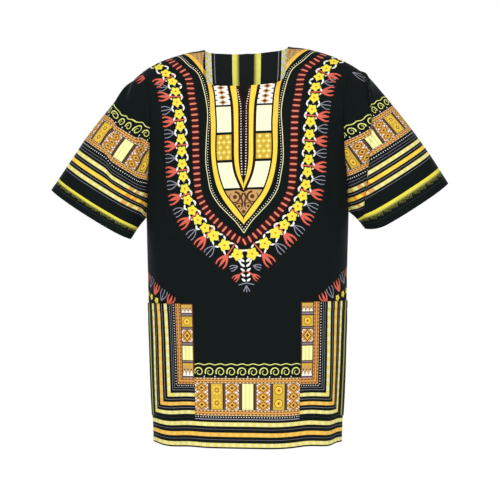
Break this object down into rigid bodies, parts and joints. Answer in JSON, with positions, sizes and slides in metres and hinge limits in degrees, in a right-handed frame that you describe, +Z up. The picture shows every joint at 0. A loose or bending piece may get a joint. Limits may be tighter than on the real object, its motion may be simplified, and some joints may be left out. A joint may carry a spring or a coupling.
{
  "type": "dashiki shirt",
  "caption": "Loose short-sleeved dashiki shirt with a squared slit neckline, wide sleeves, patch pockets and a bright printed yoke and borders on black, filled out as worn.",
  "frame": {"origin": "midway between the two neck points, level with them, where the wearer's shoulders hold the shirt", "axes": "+Z up, the front faces -Y, +X towards the viewer's right of the front"},
  "size_m": [0.7892, 0.24, 0.7923],
  "materials": {
    "cloth_black": "matte",
    "cloth_border": "matte"
  },
  "bodies": {
    "root": {"front": "cloth_black", "back": "cloth_black", "sleeve_left": "cloth_black", "sleeve_right": "cloth_black", "pocket_left": "cloth_border", "pocket_right": "cloth_border"}
  },
  "joints": []
}
